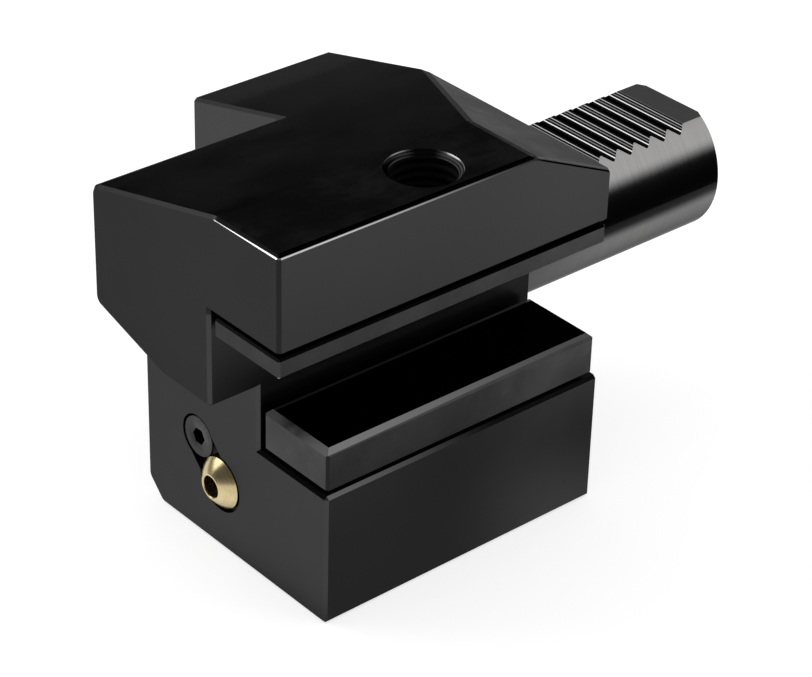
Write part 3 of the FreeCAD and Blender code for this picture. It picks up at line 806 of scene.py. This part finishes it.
@dataclass
class KeyScrew:
    """A screw seen at its key socket, made about Z with the socket's mouth at height 0, looking up.

    The thread's depth, crest and flank are shares of its pitch; the socket's lip, step, drilled width and cone
    are shares of the key's width over flats.
    """

    radius: float
    length: float
    key: float
    key_depth: float
    pitch: float = 0.0
    rim: float = 0.0003
    outline: tuple[tuple[float, float], ...] = ()
    steps: int = 72
    thread_depth: float = 0.54
    crest: float = 0.14
    flank: float = 0.5
    lip_share: float = 0.03
    step_share: float = 0.02
    drill_share: float = 0.86
    cone_share: float = 0.12

    def shape(self) -> Shape:
        """Shape the screw, with its thread or outline and its socket.

        Returns:
            The closed shape.
        """
        body = self._threaded() if self.pitch else self._plain()
        self.cut_socket(body)
        return body

    def _plain(self) -> Shape:
        """Turn a body of the outline, or of the plain size with broken rims.

        Returns:
            The body, open at the top inside the rim.
        """
        inner, low = self.radius - self.rim, -self.length
        plain = ((inner, 0.0), (self.radius, -self.rim), (self.radius, low + self.rim), (inner, low), (0.0, low))
        return spun(self.outline or plain, self.steps)

    def _threaded(self) -> Shape:
        """Cut a helical thread between two turned ends.

        Returns:
            The body, open at the top inside the rim.
        """
        depth = self.pitch * self.thread_depth
        core = self.radius - depth
        turns = int(self.length / self.pitch) + 3
        points = []
        for turn in range(turns):
            base = self.pitch * (1.5 - turn)
            points += [(self.radius, base), (self.radius, base - self.pitch * self.crest)]
            points += [(core, base - self.pitch * way) for way in (self.flank, self.flank + self.crest)]
        points.append((self.radius, self.pitch * (1.5 - turns)))
        thread = spun(points, self.steps, self.pitch)
        high, low = -self.rim - depth, -self.length + self.rim + depth
        for height, way in ((high, 1.0), (low, -1.0)):
            geometry = thread.verts[:] + thread.edges[:] + thread.faces[:]
            plane = {"plane_co": (0.0, 0.0, height), "plane_no": (0.0, 0.0, way)}
            bmesh.ops.bisect_plane(thread, geom=geometry, dist=1e-7, clear_outer=True, **plane)
        for height, end in ((high, 0.0), (low, -self.length)):
            self._close_end(thread, height, end, core)
        return thread

    def _close_end(self, thread: Shape, height: float, end: float, core: float) -> None:
        """Draw the cut thread in to its chamfered end, and cap the lower one.

        Args:
            thread: The thread.
            height: Where it was cut.
            end: Where the screw ends.
            core: The thread's core radius.
        """
        open_edges = [edge for edge in thread.edges if edge.is_boundary]
        rim = [edge for edge in open_edges if max(abs(vert.co.z - height) for vert in edge.verts) < WELD]
        verts, edges = pulled(thread, rim)
        for vert in verts:
            flat = Vector((vert.co.x, vert.co.y, 0.0)).normalized() * core
            vert.co = Vector((flat.x, flat.y, end))
        if end:
            bmesh.ops.contextual_create(thread, geom=edges)

    def cut_socket(self, body: Shape) -> None:
        """Give the open top its face, key socket and the drilled cone at the socket's bottom.

        Args:
            body: The screw's body, open at the top.
        """
        ring = [edge for edge in body.edges if edge.is_boundary and max(abs(v.co.z) for v in edge.verts) < 1e-6]
        corner = self.key / math.sqrt(3.0)
        lip = self.key * self.lip_share
        step = self.key * self.step_share
        ring = self._draw_in(body, ring, 0.0, 0.0, corner + lip)
        ring = self._draw_in(body, ring, -lip, self.key)
        ring = self._draw_in(body, ring, -self.key_depth, self.key)
        ring = self._draw_in(body, ring, -self.key_depth - step, self.key * self.drill_share)
        centre = bmesh.ops.contextual_create(body, geom=ring)["faces"]
        poked = bmesh.ops.poke(body, faces=centre)["verts"]
        bmesh.ops.translate(body, verts=poked, vec=(0.0, 0.0, -self.key * self.cone_share))

    def _draw_in(
        self, body: Shape, ring: list[Edge], height: float, key: float, radius: float = 0.0
    ) -> list[Edge]:
        """Extrude a ring of edges to a circle or a hexagon at a height.

        Args:
            body: The screw's body.
            ring: The ring's edges.
            height: Where the new ring lies.
            key: The hexagon's width over flats, or 0 for a circle.
            radius: The circle's radius.

        Returns:
            The new ring's edges.
        """
        verts, edges = pulled(body, ring)
        for vert in verts:
            flat = Vector((vert.co.x, vert.co.y, 0.0)).normalized()
            way = math.atan2(flat.y, flat.x) % (math.pi / 3.0) - math.pi / 6.0
            reach = key / 2.0 / math.cos(way) if key else radius
            vert.co = flat * reach + Vector((0.0, 0.0, height))
        return edges

    def set_in(self, name: str, at: Vector, way: Axis, finish: TurnedFinish, node: str, body: str) -> None:
        """Make the screw with its socket's mouth at a point, in place of a CAD node.

        Args:
            name: The piece's name.
            at: The middle of the socket's mouth, in metres.
            way: The way the socket opens.
            finish: The piece's finish.
            node: The CAD node.
            body: The body that it rides on.
        """
        shape = self.shape()
        bmesh.ops.transform(shape, matrix=Matrix.Translation(at) @ way.turn(), verts=shape.verts)
        stand_for(shell(name, shape, finish.material()), node, body)


def foot_of(low: Vector, high: Vector) -> Vector:
    """The middle of a box's lower end."""
    return Vector(((low.x + high.x) / 2, (low.y + high.y) / 2, low.z))


def stand_for(item: bpy.types.Object, node: str, body: str) -> None:
    """Let a new piece ride on a body in place of a CAD node.

    Args:
        item: The piece.
        node: The CAD node.
        body: The body.
    """
    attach(item, body)
    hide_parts(node)
    LOG.info("%s stands for %s on %s", item.name, node, body)


def dress(material: bpy.types.Material, *names: str) -> None:
    """Give CAD nodes a material in each of their slots.

    Args:
        material: The material.
        names: The nodes.
    """
    for name in names:
        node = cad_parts[name]
        for slot in node.material_slots:
            slot.material = material
        LOG.info("%s is dressed in %s", name, material.name)


@dataclass
class Block:
    """The body, its channel plug, its seals and the pins pressed into the slot's floor."""

    finish: HolderFinish = HolderFinish()
    pin_x: float = 0.02875
    plug_radius: float = 0.004
    plug_length: float = 0.006
    plug_key: float = 0.004
    plug_key_depth: float = 0.003
    plug_at: Triple = (-0.0145, -0.038, -0.026)

    def build(self) -> None:
        """Dress the body and its seals, and make the channel's plug."""
        dress(self.finish.material(), "holder_body")
        dress(RubberFinish().material(), "coolant_inlet_seal", "shank_seal_ring")
        dress(PinSteel("ground_pin", centre=(self.pin_x, 0.0, 0.0)).material(), "bar_guide_pins")
        oxide = ScrewOxide("black_plug", grey(0.055), grey(0.035), 0.36, self.plug_at, across=(1, 2), rings=2600.0)
        plug = KeyScrew(self.plug_radius, self.plug_length, self.plug_key, self.plug_key_depth, steps=64)
        plug.set_in("channel_plug", Vector(self.plug_at), Axis.LEFT, oxide, "coolant_channel_plug", "holder")


@dataclass
class Clamp:
    """The strip under the jaw, its pins, rings and foot, and the screw that presses it down."""

    x: float = 0.0286
    y: float = -0.036
    radius: float = 0.006
    length: float = 0.0097
    key: float = 0.006
    key_depth: float = 0.005
    pitch: float = 0.00175

    def build(self) -> None:
        """Dress the strip and its small pieces, and make the clamp screw with its thread."""
        # Painted shade on the strip's upper edges, painted highlights on its lower edges and foot, and a painted
        # lighter rear.
        edges = PieceEdgePaintedLight(
            upper_long=0.003, upper_cross=0.004, upright=0.05, lower=0.4, far=0.3, foot_z=0.01545, rear_painted_light=0.35
        )
        strip = OxideFinish("strip_black_oxide", 0.06, 0.03, 0.4, edges, brush=(900.0, 30.0, 1400.0))
        dress(strip.material(), "pressure_strip")
        pins = PinSteel("ground_guide_pin", centre=(self.x, 0.0, 0.0))
        dress(pins.material(), "strip_guide_pins", "clamp_screw_foot")
        dress(RubberFinish("friction_rubber").material(), "strip_pin_rings")
        _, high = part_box("clamp_screw")
        screw = KeyScrew(self.radius, self.length, self.key, self.key_depth, self.pitch)
        oxide = ScrewOxide("black_clamp_screw", centre=(self.x, self.y, 0.0), rings=2200.0)
        mouth = Vector((self.x, self.y, high.z))
        screw.set_in("clamp_screw_threaded", mouth, Axis.UP, oxide, "clamp_screw", "clamp")


@dataclass
class Support:
    """The bar on the slot's floor with its jack screws, retaining screw and spring."""

    jack_radius: float = 0.004
    jack_length: float = 0.014
    jack_key: float = 0.004
    jack_pitch: float = 0.00125
    head_radius: float = 0.0042
    head_height: float = 0.004
    shaft_radius: float = 0.0025
    head_rim: float = 0.0004
    neck_rim: float = 0.0001
    end_rim: float = 0.0003
    hold_key: float = 0.004
    hold_key_depth: float = 0.0024
    wire: float = 0.0008
    coils: float = 4.5
    coil_steps: int = 48
    wire_steps: int = 16

    def build(self) -> None:
        """Dress the bar, and make the screws and the spring below it."""
        # Painted highlights on the bar's long top edge and the left of its front edge, painted shade on its other
        # edges, a painted line along its top's inner edge and a painted lighter rear.
        lines = {"low_limit": -0.0044, "inner_line": 0.4, "inner_x": 0.0217, "rear_painted_light": 1.7}
        shade = {"lower_far": 0.002, "shaded_cross": 0.8, "shade_x": 0.0262}
        edges = PieceEdgePaintedLight(upper_long=0.26, upper_cross=0.07, upright=0.02, lower=0.06, **lines, **shade)
        bar = OxideFinish("bar_black_oxide", 0.073, 0.005, 0.38, edges, brush=(1400.0, 60.0, 500.0))
        dress(bar.material(), "support_bar")
        for name, body in (("front_jack_screw", "front_jack"), ("rear_jack_screw", "rear_jack")):
            low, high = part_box(name)
            middle = foot_of(low, high)
            oxide = ScrewOxide("black_" + name, centre=tuple(middle), rings=2400.0)
            jack = KeyScrew(self.jack_radius, self.jack_length, self.jack_key, self.jack_key, self.jack_pitch)
            jack.set_in(name + "_threaded", middle, Axis.DOWN, oxide, name, body)
        self._retaining_screw()
        self._spring()

    def _retaining_screw(self) -> None:
        """Make the cap screw that holds the bar down, with its plain round head and shaft."""
        low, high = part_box("bar_retaining_screw")
        middle = foot_of(low, high)
        shaft, neck = high.z - low.z, self.head_height
        head, thin = self.head_radius, self.shaft_radius
        top, under, end = self.head_rim, self.neck_rim, self.end_rim
        outline = ((head - top, 0.0), (head, -top), (head, -neck + under), (head - under, -neck), (thin, -neck))
        outline += ((thin, -shaft + end), (thin - end, -shaft), (0.0, -shaft))
        oxide = ScrewOxide("black_cap_screw", centre=tuple(middle), rings=2600.0)
        screw = KeyScrew(head, shaft, self.hold_key, self.hold_key_depth, outline=outline)
        screw.set_in("retaining_screw", middle, Axis.DOWN, oxide, "bar_retaining_screw", "bar")

    def _spring(self) -> None:
        """Coil the spring, with its lower end on the screw's head and its upper end on the block."""
        low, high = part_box("bar_return_spring")
        middle = foot_of(low, high) + Vector((0.0, 0.0, self.wire / 2))
        reach = (high.x - low.x - self.wire) / 2
        steps = int(self.coil_steps * self.coils)
        climb = (high.z - low.z - self.wire) / steps
        coil = bmesh.new()
        section = Matrix.Translation((reach, 0.0, 0.0)) @ Matrix.Rotation(math.pi / 2, 4, "X")
        bmesh.ops.create_circle(coil, cap_ends=False, segments=self.wire_steps, radius=self.wire / 2, matrix=section)
        geometry = coil.verts[:] + coil.edges[:]
        turn = {"cent": (0.0, 0.0, 0.0), "axis": (0.0, 0.0, 1.0), "dvec": (0.0, 0.0, climb)}
        bmesh.ops.spin(coil, geom=geometry, angle=math.tau * self.coils, steps=steps, use_merge=False, **turn)
        bmesh.ops.holes_fill(coil, edges=[edge for edge in coil.edges if edge.is_boundary])
        bmesh.ops.translate(coil, verts=coil.verts, vec=middle)
        drawn = TurnedFinish("drawn_wire", (0.4, 0.4, 0.41, 1.0), (0.28, 0.27, 0.26, 1.0), 0.26, tuple(middle))
        item = shell("return_spring", coil, drawn.material())
        lower, upper = Vector((middle.x, middle.y, low.z + self.wire)), Vector((middle.x, middle.y, high.z - self.wire))
        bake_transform(item)
        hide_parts("bar_return_spring")
        LOG.info("%s stands for bar_return_spring between bar and holder", item.name)


@dataclass
class Nozzle:
    """The brass coolant ball, its seat ring and its lock screw."""

    x: float = 0.0072
    y: float = -0.0626
    z: float = -0.026
    radius: float = 0.0052
    bore: float = 0.00215
    rim: float = 0.00045
    cone_start: float = 0.0011
    cone_end: float = 0.0033
    cone_bulge: float = 0.00014
    cone_steps: int = 12
    ball_steps: int = 28
    lip: float = 0.00012
    lock_x: float = 0.0008
    lock_z: float = -0.0193
    lock_front: float = -0.06365
    lock_radius: float = 0.00405
    lock_edge: float = 0.00006
    lock_rim: float = 0.0003
    lock_cone: float = 0.0015
    lock_shaft: float = 0.0025
    lock_length: float = 0.014
    lock_key: float = 0.003
    lock_key_depth: float = 0.0017

    def build(self) -> None:
        """Make the ball and the lock screw, and dress the ring."""
        dress(RubberFinish("nozzle_seat_rubber").material(), "nozzle_seat_ring")
        self._ball()
        self._lock()

    def _ball(self) -> None:
        """Spin the ball with its conical front and bore about its own axis."""
        start = math.sqrt(self.radius**2 - self.cone_start**2)
        front = self.bore + self.rim
        back = math.sqrt(self.radius**2 - self.bore**2)
        points = [(self.bore, -back), (self.bore, self.cone_end - self.lip), (self.bore + self.lip, self.cone_end)]
        top, foot = Vector((front, self.cone_end)), Vector((start, self.cone_start))
        outward = Vector((top.y - foot.y, foot.x - top.x)).normalized()
        for step in range(self.cone_steps):
            share = step / self.cone_steps
            points.append(tuple(top.lerp(foot, share) + outward * self.cone_bulge * 4.0 * share * (1.0 - share)))
        low, high = math.asin(-back / self.radius), math.asin(self.cone_start / self.radius)
        for step in range(self.ball_steps + 1):
            turn = high + (low - high) * step / self.ball_steps
            points.append((self.radius * math.cos(turn), self.radius * math.sin(turn)))
        shape = spun(points)
        at = Vector((self.x, self.y, self.z))
        bmesh.ops.transform(shape, matrix=Matrix.Translation(at) @ Axis.FRONT.turn(), verts=shape.verts)
        colour, worn = (0.7, 0.585, 0.33, 1.0), (0.55, 0.45, 0.235, 1.0)
        rings = {"across": (0, 2), "rings": 2600.0, "relief": 0.00002}
        brass = TurnedFinish("turned_brass", colour, worn, 0.24, tuple(at), **rings)
        stand_for(shell("coolant_nozzle", shape, brass.material(), 20.0), "nozzle_ball", "nozzle")

    def _lock(self) -> None:
        """Spin the flat-head screw and cut its key socket."""
        radius, edge = self.lock_radius, self.lock_edge
        shoulder, end = -self.lock_rim - self.lock_cone, -self.lock_rim - self.lock_length
        outline = ((radius - edge, 0.0), (radius, -edge), (radius, -self.lock_rim))
        outline += ((self.lock_shaft, shoulder), (self.lock_shaft, end), (0.0, end))
        screw = KeyScrew(radius, self.lock_length, self.lock_key, self.lock_key_depth, outline=outline, steps=80)
        at = Vector((self.lock_x, self.lock_front, self.lock_z))
        rings = {"across": (0, 2), "rings": 1900.0, "relief": 0.00003}
        oxide = ScrewOxide("black_lock_screw", grey(0.04), grey(0.027), 0.36, tuple(at), **rings)
        screw.set_in("lock_screw", at, Axis.FRONT, oxide, "nozzle_lock_screw", "nozzle_lock")


@dataclass(frozen=True)
class Lamp:
    """One soft square lamp that looks at the object; its level is its brightness as seen in a mirror."""

    name: str
    way: Triple
    distance: float
    size: float
    level: float

    def build(self) -> None:
        """Place the lamp on its way from the object, turned to it."""
        light = bpy.data.lights.new(self.name, "AREA")
        light.shape = "SQUARE"
        light.size = self.size
        light.energy = self.level * math.pi * self.size**2
        item = bpy.data.objects.new(self.name, light)
        bpy.context.scene.collection.objects.link(item)
        stand = Vector(self.way).normalized()
        item.location = stand * self.distance
        item.rotation_mode = "QUATERNION"
        item.rotation_quaternion = stand.to_track_quat("Z", "Y")


@dataclass(frozen=True)
class Lobe:
    """A soft oval of painted shade on the floor, seen only by mirror rays, standing in for the object's own shade."""

    centre: tuple[float, float]
    size: tuple[float, float]
    depth: float

    def shade(self, x: Wire, y: Wire) -> Wire:
        """How much light the oval takes away, from 0 to its depth."""
        across, along = (x - self.centre[0]) / self.size[0], (y - self.centre[1]) / self.size[1]
        return (across * across + along * along).below(1.0, 0.7) * self.depth


@dataclass
class Studio:
    """Pale floor, soft lamps, world and the camera at the photograph's view."""

    lamps: tuple[Lamp, ...] = (
        Lamp("lamp_behind_right", (0.55, 0.53, 0.6), 0.9, 0.62, 0.62),
        Lamp("lamp_front_left", (-0.64, -0.52, 0.56), 0.9, 0.5, 2.0),
        Lamp("lamp_overhead", (-0.64, -0.2, 0.76), 1.0, 0.34, 1.25),
    )
    near_lobe: Lobe = Lobe((0.055, -0.025), (0.06, 0.075), 0.75)
    under_lobe: Lobe = Lobe((0.02, 0.05), (0.04, 0.055), 0.55)
    rear_lobe: Lobe = Lobe((0.066, 0.08), (0.028, 0.085), 0.97)
    floor_z: float = -0.04003
    floor_size: float = 6.0
    floor_paint: float = 0.62
    floor_glow: float = 0.66
    floor_mirrored: float = 1.05
    card_at: Triple = (0.064, 0.109, 0.0)
    card_half: tuple[float, float, float, float] = (0.0395, 0.071, 1.0, 1.0)
    air_level: float = 0.6
    ceiling_level: float = 0.12
    eye: Triple = (0.337101, -0.310332, 0.258421)
    right: Triple = (0.649029, 0.76037, 0.024458)
    up: Triple = (-0.412324, 0.324566, 0.851261)
    back: Triple = (0.639336, -0.562578, 0.524172)
    focal: float = 122.485
    sensor: float = 36.0

    def build(self) -> None:
        """Make the floor, the lamps, the shade card, the world and the camera."""
        self._floor()
        for lamp in self.lamps:
            lamp.build()
        self._shade()
        self._world()
        self._camera()

    def _floor(self) -> None:
        """A wide pale floor that keeps the shadow, and to mirror rays a glow with painted shade in soft ovals near the
        object.
        """
        shape = bmesh.new()
        place = Matrix.Translation((0, 0, self.floor_z))
        bmesh.ops.create_grid(shape, x_segments=1, y_segments=1, size=self.floor_size, matrix=place)
        material, board = new_board("pale_floor")
        x, y, _ = board.parts(board.place())
        # Painted shade for mirror rays: the floor's glow darker in three soft ovals near the object.
        near = self.near_lobe.shade(x, y) * y.above(-0.066, 0.006)
        level = (self.floor_mirrored - near) * (1.0 - self.under_lobe.shade(x, y)) * (1.0 - self.rear_lobe.shade(x, y))
        white = grey(1.0)
        paint = board.add("ShaderNodeBsdfDiffuse", None, {"Color": grey(self.floor_paint)})
        glow = board.add("ShaderNodeEmission", None, {"Color": white, "Strength": self.floor_glow})
        mirrored = board.add("ShaderNodeEmission", None, {"Color": white, "Strength": level})
        bright = board.add("ShaderNodeAddShader", None, {0: paint.outputs[0], 1: glow.outputs[0]})
        clear, glossy = board.rays()
        mix = board.add("ShaderNodeMixShader", None, {0: clear, 1: paint.outputs[0], 2: bright.outputs[0]})
        mix = board.add("ShaderNodeMixShader", None, {0: glossy, 1: mix.outputs[0], 2: mirrored.outputs[0]})
        board.add("ShaderNodeOutputMaterial", None, {"Surface": mix.outputs[0]})
        shell("floor", shape, material)

    def _shade(self) -> None:
        """A black card that only mirror rays see, as a photographer sets beside bright metal."""
        shape = bmesh.new()
        turn = Matrix.Rotation(math.pi / 2, 4, "Y")
        place = Matrix.Translation(self.card_at) @ turn @ Matrix.Diagonal(self.card_half)
        bmesh.ops.create_grid(shape, x_segments=1, y_segments=1, size=1.0, matrix=place)
        material, board = new_board("black_card")
        height = board.parts(board.place())[2]
        level = height.above(0.0275, 0.0125) * 0.72 + height.below(-0.04, 0.012) * 0.04
        card = board.add("ShaderNodeEmission", None, {"Color": grey(1.0), "Strength": level})
        board.add("ShaderNodeOutputMaterial", None, {"Surface": card.outputs[0]})
        item = shell("shade_card", shape, material)
        item.visible_camera = False
        item.visible_diffuse = False
        item.visible_shadow = False
        item.visible_transmission = False

    def _world(self) -> None:
        """Plain white air to the eye, and to mirrors a white horizon under a darker ceiling."""
        world = bpy.data.worlds.new("studio_air")
        world.use_nodes = True
        bpy.context.scene.world = world
        board = Board(world.node_tree)
        height = board.parts(board.add("ShaderNodeTexCoord").outputs["Generated"])[2]
        clear, glossy = board.rays()
        ceiling = self.ceiling_level + height.below(0.03, 0.05) * 0.6 + height.below(0.22, 0.18) * 0.2
        level = board.mixed(clear, board.mixed(glossy, self.air_level, ceiling), 1.0)
        air = board.add("ShaderNodeBackground", None, {"Color": grey(1.0), "Strength": level})
        board.add("ShaderNodeOutputWorld", None, {"Surface": air.outputs[0]})

    def _camera(self) -> None:
        """The camera at the photograph's view."""
        lens = bpy.data.cameras.new("camera")
        lens.sensor_width = self.sensor
        lens.lens = self.focal
        lens.clip_start, lens.clip_end = 0.01, 50.0
        item = bpy.data.objects.new("camera", lens)
        bpy.context.scene.collection.objects.link(item)
        turn = Matrix((self.right, self.up, self.back)).transposed().to_4x4()
        item.matrix_world = Matrix.Translation(self.eye) @ turn
        bpy.context.scene.camera = item


def main() -> None:
    """Build the tool holder's looks in order."""
    logging.basicConfig(level=logging.INFO, format="%(message)s")
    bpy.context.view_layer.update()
    bpy.context.scene.view_settings.view_transform = "Standard"
    for part in (Block(), Clamp(), Support(), Nozzle(), Studio()):
        part.build()
        LOG.info("%s is built", type(part).__name__)
    bpy.context.view_layer.update()


if __name__ == "__main__":
    main()
